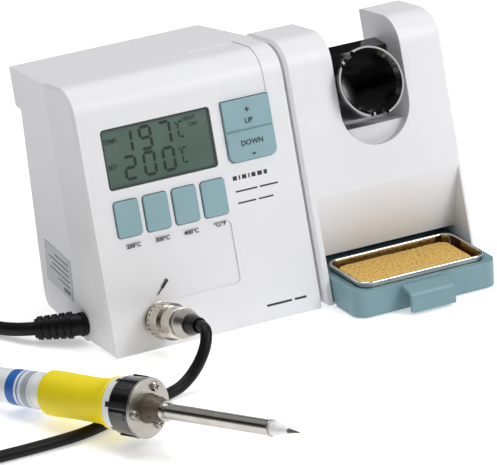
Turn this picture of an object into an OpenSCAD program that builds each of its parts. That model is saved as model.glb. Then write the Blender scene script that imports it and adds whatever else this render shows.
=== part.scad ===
// Soldering iron station: a control box, a holder with a sponge drawer, and an iron on a cord.
// The frame is in millimetres: X to the right, Y to the back, Z up from the bench.

/* [Control box] */
// Width of the control box
box_w = 121; // [118:1:124]
// Height of the shells' bottom edge above the bench
base_z = 1; // [0.8:0.1:1.2]
// Lean of the front face back from upright, in degrees
tilt = 14.9; // [14.5:0.1:15.3]
// Thickness of the shell walls
wall = 2.4; // [2:0.1:2.6]
// Depth of the front shell, square to the face
front_d = 28.5; // [28:0.5:29]

/* [Keys] */
// Width of one small key
key_w = 13.6; // [13:0.1:14]
// Distance from one small key to the next
key_pitch = 16.5; // [16:0.1:17]
// Length of a small key up the face
key_h = 18.4; // [17:0.1:19]
// Gap between a key and the edge of its hole
key_gap = 0.4; // [0.3:0.05:0.5]

/* [Holder] */
// Width of the holder
holder_w = 92; // [90:1:93]
// Gap between the control box and the holder
split_gap = 1.5; // [1.2:0.1:1.8]
// Depth of the holder's upper part, square to the face
holder_d = 37; // [36:0.5:38]
// Width of the slot that the cup stands in
slot_w = 40.4; // [40:0.1:41]

/* [Cup] */
// Outside diameter of the cup's rim
cup_rim_d = 37; // [36:0.5:38]
// Inside diameter of the cup's straight bore
cup_bore_d = 31; // [30.5:0.1:31.4]
// Rise of the cup's axis above level, in degrees
cup_rise = 26; // [24:1:28]

/* [Iron] */
// Diameter of the iron's metal flange
flange_d = 30; // [29:0.5:31]
// Diameter of the heater barrel
barrel_d = 8; // [7.6:0.1:8.4]
// Diameter of the iron's cord
iron_cord_d = 6; // [5.5:0.1:6.4]

/* [Mains cord] */
// Diameter of the mains cord
mains_cord_d = 7; // [6.5:0.1:7.4]

/* [Hidden] */

// The frame's origin lies under the middle of everything but the cords.
origin = [63.2, -40.5, 0];
eps = 0.01;
lean = tan(tilt);

// Side outline of the control box: points are [Y, Z].
crest_r = 16;
crest_t = 124.4;
top_fall = 7.3;
top_back = [114.2, 123.7];
lip_low = [109.3, 103.8];
lip_in = [101.5, 103.8];
back_low = [91.2, 9];
heel = [85, base_z];
back_taper = 0.11;
shell_seam = 0.12;
edge_cut = 1.6;

// Places on the face: [X, distance up the face].
lcd_at = [13.5, 84.5];
lcd_size = [62.4, 31.3];
keys_at = [13.9, 60.2];
rocker_at = [82.2, 84.6];
rocker_size = [27.2, 31.4];
rocker_mid = 15.6;
relief_at = [14.4, 23.8];
relief_size = [62.8, 33.4];
socket_at = [29.2, 15];
relief_depth = 0.6;
key_proud = 1.2;
key_travel = 1;
key_r = 1.6;
rocker_r = 3.6;
board_w = -13;

// Holder: X of the sides, the slot and the drawer bay.
hx0 = box_w + split_gap;
hx1 = hx0 + holder_w;
slot_x = 169.6;
slot_t = 97;
bay_x0 = hx0 + 4.6;
bay_x1 = hx1 - 2.6;
bay_z1 = 55;
bay_back_y = 21;
bay_floor_z = 2.6;
tunnel_z1 = 19.5;
tunnel_y1 = 36;
hind_y = 84;
hind_z = 48;

// Cup
cup_len = 34;
cup_flare = 3;
cup_rim_y = 19.6;
cup_rim_z = 109.6;

// Drawer and what is in it
drawer_x0 = bay_x0 + 0.6;
drawer_x1 = bay_x1 - 0.6;
drawer_y0 = -24.4;
drawer_y1 = 34;
drawer_z0 = 0.7;
drawer_z1 = 14.8;
tin_x0 = drawer_x0 + 5.4;
tin_x1 = drawer_x1 - 5.4;
tin_y0 = -20.2;
tin_y1 = 17;
tin_z0 = 4.6;
tin_z1 = 17.8;
tin_wall = 0.6;

// Iron: a frame on its axis, with +Z towards the tip and 0 at the flange's front.
iron_at = [-35.8, -107.3, 21];
iron_turn = 21.7;
iron_rise = 5.9;
plate_t = 1.6;
collar_len = 12;
ring_len = 5.2;
grip_len = 45.4;
handle_len = 122;
handle_d = 18.6;
handle_taper = 2.4;
boot_len = 30;
hub_len = 10;
barrel_end = 78;
tip_end = 95;

// ---------- helpers ----------
function arc(c, r, a0, a1, n) = [for (i = [0:n]) c + r * [cos(a0 + (a1 - a0) * i / n), sin(a0 + (a1 - a0) * i / n)]];
function face_y(z, d) = z * lean + d / cos(tilt);
function unit(v) = v / norm(v);

// Turns drawing in XY into X and up-the-face, with +Z out of the face.
module on_face(w = 0) { rotate([90 - tilt, 0, 0]) translate([0, 0, w]) children(); }

// Draws an outline of [Y, Z] points between two X planes.
module along_x(x0, x1) { translate([x0, 0, 0]) rotate([90, 0, 90]) linear_extrude(x1 - x0) children(); }

// A plate with round corners made of crossing blocks and true cylinders.
module corner_plate(size, r) {
    translate([r, 0, 0]) cube([size.x - 2 * r, size.y, size.z]);
    translate([0, r, 0]) cube([size.x, size.y - 2 * r, size.z]);
    for (x = [r, size.x - r], y = [r, size.y - r]) translate([x, y, 0]) cylinder(h = size.z, r = r, $fn = 32);
}

// A round bar from one point to another.
module bar(a, b, d, d2) {
    v = b - a;
    translate(a) rotate([0, acos(v.z / norm(v)), atan2(v.y, v.x)]) cylinder(h = norm(v), d1 = d, d2 = d2, $fn = 32);
}

// A pan-head screw along -Z, with a cross slot, and its head's underside at 0.
module pan_screw(head_d, head_h, shank_d, shank_len) {
    difference() {
        cylinder(h = head_h, d1 = head_d, d2 = head_d * 0.8, $fn = 32);
        for (a = [0, 90]) rotate(a) translate([-head_d * 0.3, -head_d * 0.07, head_h * 0.5])
            cube([head_d * 0.6, head_d * 0.14, head_h]);
    }
    translate([0, 0, -shank_len]) cylinder(h = shank_len + eps, d = shank_d, $fn = 32);
}

// Sweeps a round section along a list of points as one closed skin.
function turn_dir(p, i) = let(n = len(p)) unit(p[min(i + 1, n - 1)] - p[max(i - 1, 0)]);
function side_dir(d) = unit(cross(d, abs(d.z) > 0.95 ? [1, 0, 0] : [0, 0, 1]));
module cord_tube(p, d, sides = 10) {
    n = len(p);
    rings = [for (i = [0:n - 1]) let(t = turn_dir(p, i), s = side_dir(t), u = cross(s, t))
        for (k = [0:sides - 1]) p[i] + d / 2 * (cos(360 * k / sides) * s + sin(360 * k / sides) * u)];
    skin = [for (i = [0:n - 2], k = [0:sides - 1]) let(a = i * sides + k, b = i * sides + (k + 1) % sides)
        [a, b, b + sides, a + sides]];
    ends = [[for (k = [0:sides - 1]) sides - 1 - k], [for (k = [0:sides - 1]) (n - 1) * sides + k]];
    polyhedron(points = rings, faces = [for (f = concat(skin, ends)) [for (i = [len(f) - 1:-1:0]) f[i]]]);
}

// Smooth points through hand-set ones.
function spline_at(a, b, c, d, t) = 0.5 * (2 * b + (c - a) * t + (2 * a - 5 * b + 4 * c - d) * t * t
    + (3 * b - a - 3 * c + d) * t * t * t);
function smooth(p, k) = let(n = len(p)) concat(
    [for (i = [0:n - 2], j = [0:k - 1])
        spline_at(p[max(i - 1, 0)], p[i], p[i + 1], p[min(i + 2, n - 1)], j / k)],
    [p[n - 1]]);

// Side outline of the front half, drawn in by i, from the face back to depth d.
function crest_c() = [crest_t * sin(tilt) + crest_r * cos(tilt), crest_t * cos(tilt) - crest_r * sin(tilt)];
function top_point(i, d) = let(
    p = crest_c() + (crest_r - i) * [sin(top_fall), cos(top_fall)],
    k = (p.y * lean + d / cos(tilt) - p.x) / (cos(top_fall) + sin(top_fall) * lean)
) p + k * [cos(top_fall), -sin(top_fall)];
function front_outline(i, d) = concat(
    [[face_y(base_z + i, i), base_z + i]],
    arc(crest_c(), crest_r - i, 180 - tilt, 90 - top_fall, 12),
    [top_point(i, d), [face_y(base_z + i, d), base_z + i]]);
function rear_outline(d) = [
    [face_y(base_z, d), base_z], top_point(0, d), top_back, lip_low, lip_in, back_low,
    back_low + [-1.2, -3.6], back_low + [-3, -6.6], heel];

// A block behind the seam that narrows towards the back, drawn in by i.
module taper_block(i) {
    far = 110;
    inset = back_taper * (far - front_d);
    on_face() translate([0, 200, 0]) rotate([90, 0, 0]) linear_extrude(260)
        polygon([[i, -front_d + 20], [box_w - i, -front_d + 20], [box_w - i, -front_d],
            [box_w - inset - i, -far], [inset + i, -far], [i, -front_d]]);
}

case_screw_places = [for (x = [14, box_w - 14], z = [16, 118]) [x, z]];
function seam_y(z) = face_y(z, front_d);
function back_y(z) = z < lip_in.y
    ? back_low.x + (lip_in.x - back_low.x) * (z - back_low.y) / (lip_in.y - back_low.y)
    : lip_low.x + (top_back.x - lip_low.x) * (z - lip_low.y) / (top_back.y - lip_low.y);
module along_y(x, z, y0, y1, d) { translate([x, y1, z]) rotate([90, 0, 0]) cylinder(h = y1 - y0, d = d, $fn = 40); }

// ---------- control box ----------
mains_at = [32.2, 10];
mains_neck_d = 9;
module mains_hole(d) { translate([-5, mains_at.x, mains_at.y]) rotate([0, 90, 0]) cylinder(h = 12, d = d, $fn = 40); }

rock_pin_w = -5;
rock_pin_d = 2.4;
rock_x0 = rocker_at.x - key_gap - 2.6;
rock_x1 = rocker_at.x + rocker_size.x + key_gap + 2.6;
key_flange = 0.8;
rocker_stem = 9;

module key_hole(at, size, r) {
    translate([at.x - key_gap, at.y - key_gap, -wall - 1])
        corner_plate([size.x + 2 * key_gap, size.y + 2 * key_gap, wall + 4], r + key_gap);
}

module front_shell() {
    color("whitesmoke") difference() {
        union() {
            difference() {
                hull() {
                    along_x(edge_cut, box_w - edge_cut) polygon(front_outline(0, front_d));
                    along_x(0, box_w) polygon(front_outline(edge_cut, front_d));
                }
                along_x(wall, box_w - wall) polygon(front_outline(wall, front_d + 6));
            }
            for (p = case_screw_places) intersection() {
                along_y(p.x, p.y, 0, seam_y(p.y) - 1, 7);
                along_x(1, box_w - 1) polygon(front_outline(1, front_d));
            }
            for (x = [rock_x0, rock_x1 - 2]) on_face(rock_pin_w - 2.4)
                translate([x, rocker_at.y + rocker_mid - 3, 0]) cube([2, 6, -rock_pin_w + 2.4 - wall + 0.5]);
            for (x = [30, 61]) on_face(board_w) translate([x, 55, 0])
                cylinder(h = -board_w - wall + 0.3, d = 5, $fn = 32);
        }
        on_face(-wall - 1) translate([lcd_at.x, lcd_at.y, 0]) corner_plate([lcd_size.x, lcd_size.y, wall + 4], 2);
        on_face() for (k = [0:3]) key_hole(keys_at + [k * key_pitch, 0], [key_w, key_h], key_r);
        on_face() {
            key_hole(rocker_at, rocker_size, rocker_r);
            key_hole(rocker_at + [0, 8], rocker_size - [0, 8], 0.2);
        }
        on_face(-wall - 1) translate([socket_at.x, socket_at.y, 0]) cylinder(h = wall + 2, d = 16.2, $fn = 48);
        on_face(-relief_depth) translate([relief_at.x, relief_at.y, 0])
            corner_plate([relief_size.x, relief_size.y, 3], 3);
        on_face() translate([rock_x0 - 1, rocker_at.y + rocker_mid, rock_pin_w]) rotate([0, 90, 0])
            cylinder(h = rock_x1 - rock_x0 + 2, d = rock_pin_d + 0.1, $fn = 32);
        intersection() {
            difference() {
                along_x(rocker_at.x, rocker_at.x + rocker_size.x) polygon(front_outline(-3, front_d + 9));
                along_x(0, box_w) polygon(front_outline(relief_depth, front_d + 10));
            }
            on_face(-60) translate([0, rocker_at.y + rocker_size.y + 1, 0]) cube([box_w, 60, 80]);
        }
        for (p = case_screw_places) along_y(p.x, p.y, seam_y(p.y) - 14, seam_y(p.y) + 5, 3);
        mains_hole(mains_neck_d + 0.2);
    }
}

switch_x = 84;
switch_s = 52;
back_lean = atan((lip_in.x - back_low.x) / (lip_in.y - back_low.y));
module on_back(x, s, w = 0) {
    translate([0, back_low.x, back_low.y]) rotate([-90 - back_lean, 0, 0]) translate([x, -s, w]) children();
}
switch_hole = [13, 19];

module rear_shell() {
    color("whitesmoke") difference() {
        union() {
            difference() {
                intersection() {
                    along_x(-1, box_w + 1) polygon(rear_outline(front_d + shell_seam));
                    taper_block(0);
                }
                intersection() {
                    along_x(0, box_w) offset(delta = -wall) polygon(rear_outline(front_d - 10));
                    taper_block(wall);
                }
            }
            for (p = case_screw_places) along_y(p.x, p.y, seam_y(p.y) + 0.6, back_y(p.y) - 0.6, 9);
        }
        for (p = case_screw_places) {
            along_y(p.x, p.y, seam_y(p.y) + 4, back_y(p.y) + 5, 6.4);
            along_y(p.x, p.y, seam_y(p.y) - 1, seam_y(p.y) + 5, 3.4);
        }
        on_back(switch_x, switch_s, -6) translate([-switch_hole.x / 2, -switch_hole.y / 2, 0])
            cube([switch_hole.x, switch_hole.y, 12]);
        mains_hole(mains_neck_d + 0.2);
        for (x = transformer_tabs) translate([x, transformer_y, -1]) cylinder(h = 6, d = 4, $fn = 32);
        for (k = [0:7]) on_back(40, 30 + 7 * k, -6) translate([-18, -1.2, 0]) cube([36, 2.4, 12]);
    }
}

foot_places = [[13, 14], [box_w - 13, 14], [19, 74], [box_w - 19, 74], [hx0 + 9, 76], [hx1 - 9, 76], [hx0 + 20, 12],
    [hx1 - 20, 12]];
module rubber_feet() {
    color("dimgray") for (p = foot_places) translate([p.x, p.y, 0]) cylinder(h = base_z, d = 10, $fn = 40);
}

module case_screws() {
    color("silver") for (p = case_screw_places)
        translate([p.x, seam_y(p.y) + 4, p.y]) rotate([-90, 0, 0]) pan_screw(5.8, 2, 2.9, 15);
}

// Lies on the rear shell's left side; corners are [Y, Z].
label_corners = [[46, 17], [83, 17], [83, 39], [46, 39]];
module rating_label() {
    color("lightgray") on_face(-front_d) rotate([0, -atan(back_taper), 0]) along_x(-0.28, -0.02)
        polygon([for (p = label_corners)
            [p.x * sin(tilt) + p.y * cos(tilt), p.y * sin(tilt) - p.x * cos(tilt) + front_d]]);
}

lcd_back_w = -wall - 1.2;
module lcd_window() {
    color("darkslategray") on_face() {
        translate([lcd_at.x + 0.1, lcd_at.y + 0.1, -wall - 0.2])
            corner_plate([lcd_size.x - 0.2, lcd_size.y - 0.2, wall + 0.2 - 1.1], 1.9);
        translate([lcd_at.x - 1.4, lcd_at.y - 1.4, lcd_back_w])
            cube([lcd_size.x + 2.8, lcd_size.y + 2.8, -wall - lcd_back_w]);
    }
}

module lcd_module() {
    color("darkseagreen") on_face(board_w) translate([lcd_at.x, lcd_at.y, 0])
        cube([lcd_size.x, lcd_size.y, lcd_back_w - board_w]);
}

board_t = 1.6;
module control_board() {
    color("darkgreen") on_face(board_w - board_t) translate([10, 50, 0]) cube([102, 68, board_t]);
}

tact_body = [6, 6, 3.5];
tact_top = 0.9;
function key_mid(k) = keys_at + [k * key_pitch + key_w / 2, key_h / 2];
rocker_mid_x = rocker_at.x + rocker_size.x / 2;
tact_places = concat([for (k = [0:3]) key_mid(k)],
    [for (s = [-1, 1]) [rocker_mid_x, rocker_at.y + rocker_mid + s * rocker_stem]]);
module tact_switches() {
    color("black") on_face(board_w) for (p = tact_places) translate([p.x, p.y, 0]) {
        translate([-tact_body.x / 2, -tact_body.y / 2, 0]) cube(tact_body);
        cylinder(h = tact_body.z + tact_top, d = 3.4, $fn = 24);
    }
}
tact_w = board_w + tact_body.z + tact_top;

module small_key(k) {
    at = keys_at + [k * key_pitch, 0];
    stem_w = tact_w + key_travel + 0.15;
    color("lightsteelblue") on_face() {
        translate([at.x, at.y, -wall - 0.05 - 1]) corner_plate([key_w, key_h, wall + 0.05 + 1 + key_proud], key_r);
        translate([at.x - key_flange, at.y - key_flange, -wall - 1.25])
            cube([key_w + 2 * key_flange, key_h + 2 * key_flange, 1.2]);
        translate([key_mid(k).x, key_mid(k).y, stem_w]) cylinder(h = -wall - 0.6 - stem_w, d = 3, $fn = 24);
    }
}

module updown_key() {
    size = rocker_size;
    color("lightsteelblue") on_face() difference() {
        union() {
            translate([rocker_at.x, rocker_at.y, -1.2]) corner_plate([size.x, size.y, 1.2 + key_proud + 0.4], rocker_r);
            translate([rocker_at.x, rocker_at.y + 8, -1.2]) cube([size.x, size.y - 8, 1.2 + key_proud + 0.4]);
            for (x = [1.5, size.x - 3.5]) translate([rocker_at.x + x, rocker_at.y + rocker_mid - 3, rock_pin_w - 1.6])
                cube([2, 6, -rock_pin_w + 1]);
            translate([rock_x0 + 0.3, rocker_at.y + rocker_mid, rock_pin_w]) rotate([0, 90, 0])
                cylinder(h = rock_x1 - rock_x0 - 0.6, d = rock_pin_d, $fn = 32);
            for (s = [-1, 1]) translate([rocker_mid_x, rocker_at.y + rocker_mid + s * rocker_stem, tact_w + 0.45])
                cylinder(h = -1 - tact_w - 0.45, d = 3, $fn = 24);
        }
        translate([rocker_at.x - 1, rocker_at.y + rocker_mid - 0.5, key_proud - 0.4]) cube([size.x + 2, 1, 3]);
    }
}

socket_front = 9;
module panel_socket() {
    color("silver") on_face() translate([socket_at.x, socket_at.y, 0]) difference() {
        union() {
            cylinder(h = 2, d = 20, $fn = 48);
            translate([0, 0, -12]) cylinder(h = 12.5, d = 16, $fn = 48);
            cylinder(h = socket_front, d = 14.6, $fn = 48);
        }
        translate([0, 0, 2.5]) cylinder(h = 20, d = 12.8, $fn = 48);
        translate([0, 0, -20]) cylinder(h = 14, d = 10, $fn = 48);
    }
}

module socket_nut() {
    color("silver") on_face(-wall - 3) translate([socket_at.x, socket_at.y, 0]) difference() {
        cylinder(h = 3, d = 22, $fn = 6);
        translate([0, 0, -1]) cylinder(h = 5, d = 16.1, $fn = 48);
    }
}

transformer_y = 61;
transformer_tabs = [41, 97];
core_x = 46;
core_size = [46, 22, 42];
floor_z = base_z + wall;
leg_w = 14;
module core_leg(gap) {
    translate([core_x + core_size.x / 2 - leg_w / 2 - gap, transformer_y - core_size.y / 2 - gap, floor_z + 2])
        cube([leg_w + 2 * gap, core_size.y + 2 * gap, core_size.z - 4]);
}
module transformer_core() {
    color("gray") difference() {
        union() {
            difference() {
                translate([core_x, transformer_y - core_size.y / 2, floor_z]) cube(core_size);
                translate([core_x + 7, 0, floor_z + 8]) cube([core_size.x - 14, 200, core_size.z - 16]);
            }
            core_leg(0);
            translate([transformer_tabs.x - 5, transformer_y - 7, floor_z]) cube([66, 14, 1.5]);
        }
        for (x = transformer_tabs) translate([x, transformer_y, -1]) cylinder(h = 12, d = 4.4, $fn = 32);
    }
}
module transformer_coil() {
    color("goldenrod") difference() {
        translate([core_x + 7.3, transformer_y - 18, floor_z + 8.3]) cube([core_size.x - 14.6, 36, core_size.z - 16.6]);
        core_leg(0.3);
    }
}
module transformer_screws() {
    color("silver") for (x = transformer_tabs) translate([x, transformer_y, floor_z + 1.5]) pan_screw(7, 2.4, 3.8, 3.6);
}
module mains_fuse() {
    color("lightgray") on_face(board_w - board_t - 5) translate([80, 62, 0]) {
        rotate([0, 90, 0]) cylinder(h = 20, d = 5, $fn = 32);
        for (x = [1, 16]) translate([x, -3, -1]) cube([3, 6, 6]);
    }
}

rocker_pivot_w = -0.5;
module power_switch_frame() {
    color("black") on_back(switch_x, switch_s) difference() {
        union() {
            translate([-7.5, -10.5, 0]) cube([15, 21, 1.8]);
            translate([-6.4, -9.4, -14]) cube([12.8, 18.8, 14.5]);
        }
        translate([-5.4, -8.4, -9.4]) cube([10.8, 16.8, 20]);
    }
}
module power_switch_rocker() {
    color("black") on_back(switch_x, switch_s, rocker_pivot_w) rotate([8, 0, 0]) intersection() {
        rotate([0, 90, 0]) cylinder(h = 10.4, d = 16.4, center = true, $fn = 48);
        rotate([90, 0, 90]) linear_extrude(10.4, center = true)
            polygon([[-9, -9], [9, -9], [9, 2.2], [0, 3.4], [-9, 2.2]]);
    }
}

// ---------- holder ----------
post_places = [[hx0 + 12, 122], [hx1 - 12, 122], [hx0 + 12, 72], [hx1 - 12, 72]];
back_t = 2;
slot_sink = 5;
slot_open_t = 87;
module slot_shape(grow, t1) {
    translate([slot_x, slot_t, 0]) cylinder(h = 90, d = slot_w + 2 * grow, $fn = 64);
    translate([slot_x - slot_w / 2 - grow, slot_t, 0]) cube([slot_w + 2 * grow, t1 - slot_t, 90]);
}
bay_outline = [[-10, -10], [60, -10], [60, tunnel_z1], [bay_back_y, tunnel_z1],
    [bay_back_y, tunnel_z1 + 2], [14.4, bay_z1 + 0.5], [-10, bay_z1 + 0.5]];
// Side outline of the tub behind the holder, drawn in by i, with its open front at depth d.
function tub_outline(i, d) = [[face_y(base_z + i, d), base_z + i], [hind_y - i, base_z + i],
    [hind_y - i, hind_z - 9], [hind_y - 3 - i / 2, hind_z - 3 - i / 2], [hind_y - 9, hind_z - i],
    [face_y(hind_z - i, d), hind_z - i]];

module holder_shell() {
    color("whitesmoke") difference() {
        union() {
            difference() {
                hull() {
                    along_x(hx0 + edge_cut, hx1 - edge_cut) polygon(front_outline(0, holder_d));
                    along_x(hx0, hx1) polygon(front_outline(edge_cut, holder_d));
                }
                difference() {
                    along_x(hx0 + wall, hx1 - wall) polygon(front_outline(wall, holder_d + 1));
                    intersection() {
                        on_face(-70) slot_shape(wall, 170);
                        along_x(hx0, hx1) polygon(front_outline(0, holder_d));
                    }
                    along_x(0, 300) offset(delta = wall) polygon(bay_outline);
                }
            }
            for (p = post_places) on_face(-holder_d) translate([p.x, p.y, 0])
                cylinder(h = holder_d - wall + 0.5, d = 7, $fn = 40);
            for (z = [40, 100]) translate([box_w, face_y(z, 18), z]) rotate([0, 90, 0])
                cylinder(h = split_gap + 1, d = 12, $fn = 40);
        }
        on_face(-slot_sink) slot_shape(0, 170);
        on_face(-70) intersection() {
            slot_shape(0, 170);
            translate([0, slot_open_t, 0]) cube([300, 90, 90]);
        }
        on_face(-70) intersection() {
            slot_shape(-0.6, 170);
            cube([300, slot_open_t - wall, 70 - slot_sink - wall]);
        }
        along_x(bay_x0, bay_x1) polygon(bay_outline);
        for (p = post_places) on_face(-holder_d - 1) translate([p.x, p.y, 0]) cylinder(h = 12, d = 2.6, $fn = 32);
    }
}

// The tray under the holder: the floor that the drawer slides on, its end wall and the tub behind it.
module holder_base() {
    color("whitesmoke") difference() {
        union() {
            translate([bay_x0 + 0.1, 1, base_z]) cube([bay_x1 - bay_x0 - 0.2, 44, bay_floor_z - base_z - 0.1]);
            translate([bay_x0 + 0.1, tunnel_y1, base_z]) cube([bay_x1 - bay_x0 - 0.2, wall, tunnel_z1 - 0.1 - base_z]);
            difference() {
                along_x(hx0 + 1, hx1 - 1) polygon(tub_outline(0, holder_d + 0.1));
                along_x(hx0 + 1 + wall, hx1 - 1 - wall) polygon(tub_outline(1.7, holder_d - 3));
            }
        }
        for (x = [hx0 + 9, hx1 - 9]) translate([x, 60, base_z - 1]) cylinder(h = 6, d = 3.4, $fn = 32);
    }
}

module holder_back() {
    color("whitesmoke") difference() {
        intersection() {
            on_face(-holder_d - back_t) translate([hx0 + 0.6, 61.5, 0]) cube([holder_w - 1.2, 90, back_t]);
            along_x(hx0, hx1) polygon(front_outline(0.6, holder_d + 20));
        }
        on_face(-holder_d - 9) translate([slot_x - slot_w / 2, 101, 0]) cube([slot_w, 70, 20]);
        for (p = post_places) on_face(-holder_d - 5) translate([p.x, p.y, 0]) cylinder(h = 9, d = 3.2, $fn = 32);
    }
}
module holder_screws() {
    color("silver") for (p = post_places) on_face(-holder_d - back_t) translate([p.x, p.y, 0])
        rotate([180, 0, 0]) pan_screw(5, 1.8, 2.6, 10);
}

cup_at = [167.2, cup_rim_y + 3.4, cup_rim_z - 1.6];
module cup_frame() { translate(cup_at) rotate([90 - cup_rise, 0, 0]) children(); }
module iron_cup() {
    color("black") difference() {
        union() {
            cup_frame() {
                translate([0, 0, -cup_len]) cylinder(h = cup_len, d1 = cup_rim_d - 6, d2 = cup_rim_d - 1.6, $fn = 64);
                translate([0, 0, -2.4]) cylinder(h = 2.4, d = cup_rim_d, $fn = 64);
            }
            difference() {
                along_x(slot_x - slot_w / 2, slot_x + slot_w / 2)
                    polygon([for (p = [[99, 15], [99, 27], [117, 27], [117, 15]]) [face_y(p.x, p.y), p.x]]);
                cup_frame() translate([0, 0, -60]) cylinder(h = 90, d = cup_bore_d + 1, $fn = 64);
            }
        }
        cup_frame() {
            translate([0, 0, -cup_len + 9]) cylinder(h = 60, d = cup_bore_d, $fn = 64);
            translate([0, 0, -cup_flare]) cylinder(h = cup_flare + eps, d1 = cup_bore_d, d2 = cup_rim_d - 2, $fn = 64);
            translate([0, 0, -cup_len + 2]) cylinder(h = 60, d = 24, $fn = 64);
            for (a = [38, 180]) rotate(a) translate([0, cup_rim_d / 2, 0]) rotate([90, 0, 0])
                cylinder(h = 14, d = 11, center = true, $fn = 40);
        }
    }
}

// ---------- drawer ----------
runner_gap = 0.3;
tab_w = 26;
tab_x0 = (drawer_x0 + drawer_x1) / 2 - tab_w / 2 - 3;
tab_out = 10;
module drawer() {
    front_r = 7;
    w = drawer_x1 - drawer_x0;
    color("cadetblue") difference() {
        union() {
            translate([drawer_x0, drawer_y0, drawer_z0]) {
                translate([front_r, 0, 0]) cube([w - 2 * front_r, -drawer_y0 - 1, drawer_z1 - drawer_z0]);
                translate([0, front_r, 0]) cube([w, -drawer_y0 - 1 - front_r, drawer_z1 - drawer_z0]);
                for (x = [front_r, w - front_r]) translate([x, front_r, 0])
                    cylinder(h = drawer_z1 - drawer_z0, r = front_r, $fn = 48);
            }
            translate([drawer_x0, -2, bay_floor_z + runner_gap])
                cube([w, drawer_y1 + 2, drawer_z1 - bay_floor_z - runner_gap]);
            along_x(tab_x0, tab_x0 + tab_w) polygon(concat(
                [[drawer_y0 + 1, drawer_z1 - 0.6]], arc([drawer_y0 - 5.4, drawer_z1 - 6.2], 4.6, 75, 172, 8),
                [[drawer_y0 - tab_out - 0.6, drawer_z0 + 1.2], [drawer_y0 - tab_out + 1.6, drawer_z0 + 1.2]],
                arc([drawer_y0 - 5.2, drawer_z1 - 6.6], 2.8, 172, 75, 8), [[drawer_y0 + 1, drawer_z1 - 3]]));
        }
        translate([tin_x0 - 0.4, tin_y0 - 0.4, tin_z0])
            corner_plate([tin_x1 - tin_x0 + 0.8, tin_y1 - tin_y0 + 0.8, 30], 6.4);
        translate([drawer_x0 + 3, tin_y1 + 3, tin_z0]) cube([w - 6, drawer_y1 - tin_y1 - 5.4, 30]);
    }
}

module sponge_tin() {
    size = [tin_x1 - tin_x0, tin_y1 - tin_y0, tin_z1 - tin_z0];
    color("silver") translate([tin_x0, tin_y0, tin_z0]) difference() {
        union() {
            corner_plate(size, 6);
            translate([-1, -1, size.z - 0.8]) corner_plate([size.x + 2, size.y + 2, 0.8], 7);
        }
        translate([tin_wall, tin_wall, tin_wall])
            corner_plate([size.x - 2 * tin_wall, size.y - 2 * tin_wall, size.z], 6 - tin_wall);
    }
}

sponge_gap = 2.6;
sponge_r = 4;
module sponge() {
    size = [tin_x1 - tin_x0 - 2 * sponge_gap, tin_y1 - tin_y0 - 2 * sponge_gap, 10.4];
    color("burlywood") translate([tin_x0 + sponge_gap, tin_y0 + sponge_gap, tin_z0 + tin_wall])
        corner_plate(size, sponge_r);
}

// ---------- iron ----------
module iron_frame() { translate(iron_at) rotate([0, 0, iron_turn]) rotate([90 - iron_rise, 0, 0]) children(); }
function iron_point(z) = iron_at + z * [sin(iron_turn) * cos(iron_rise), -cos(iron_turn) * cos(iron_rise),
    sin(iron_rise)];

collar_z0 = -plate_t - collar_len;
ring_z0 = collar_z0 - ring_len;
grip_z0 = ring_z0 - grip_len;
core_d = 15;
flange_screw_places = [for (a = [90, 210, 330]) 11 * [cos(a - 32), sin(a - 32)]];

// A ring of material around the iron's axis, from z0 to z1.
module ring(z0, z1, d0, d1, bore) {
    translate([0, 0, z0]) difference() {
        cylinder(h = z1 - z0, d1 = d0, d2 = d1, $fn = 64);
        translate([0, 0, -1]) cylinder(h = z1 - z0 + 2, d = bore, $fn = 64);
    }
}

// The handle taper's diameter at a place on the axis, and a piece of it between two places.
function handle_d_at(z) = handle_d - handle_taper * (grip_z0 - z) / (handle_len + grip_z0);
module handle_cone(span, grow, extra = 0) {
    cylinder(h = span[1] - span[0] + extra, d1 = handle_d_at(span[0]) + grow, d2 = handle_d_at(span[1]) + grow,
        $fn = 64);
}

module iron_handle() {
    color("white") iron_frame() difference() {
        union() {
            translate([0, 0, -handle_len]) handle_cone([-handle_len, grip_z0], 0);
            translate([0, 0, grip_z0 - eps]) cylinder(h = collar_z0 - grip_z0, d = core_d, $fn = 64);
        }
        translate([0, 0, -handle_len + 3]) cylinder(h = handle_len, d = core_d - 3, $fn = 64);
        translate([0, 0, -handle_len - 1]) cylinder(h = 6, d = 8.2, $fn = 48);
    }
}
module grip_sleeve() {
    color("gold") iron_frame() translate([0, 0, grip_z0]) rotate_extrude($fn = 96) polygon(concat(
        [[core_d / 2 + 0.06, 0], [10.2, 0]], [[11.2, 1.2], [11.4, 6], [11.2, 16], [11.1, 26], [11.3, 36]],
        arc([11.3, grip_len - 2], 2, -70, 80, 6), [[core_d / 2 + 0.06, grip_len]]));
}
module spacer_ring() {
    color("white") iron_frame() ring(ring_z0, collar_z0, 27, 27.6, core_d + 0.12);
}
module collar() {
    color("black") iron_frame() difference() {
        union() {
            ring(collar_z0, -plate_t, flange_d - 1, flange_d, 12);
            for (a = [0:60:300]) rotate(a) translate([flange_d / 2 - 1.2, -2, collar_z0 + 1])
                cube([1.4, 4, collar_len - 3]);
        }
        for (p = flange_screw_places) translate([p.x, p.y, -plate_t - 6]) cylinder(h = 8, d = 2, $fn = 32);
    }
}
module flange_plate() {
    color("silver") iron_frame() difference() {
        ring(-plate_t, 0, flange_d, flange_d, 10);
        for (p = flange_screw_places) translate([p.x, p.y, -5]) cylinder(h = 8, d = 2.8, $fn = 32);
    }
}
module flange_screws() {
    color("silver") iron_frame() for (p = flange_screw_places) translate([p.x, p.y, 0]) pan_screw(5.2, 1.8, 2, 7);
}
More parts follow.
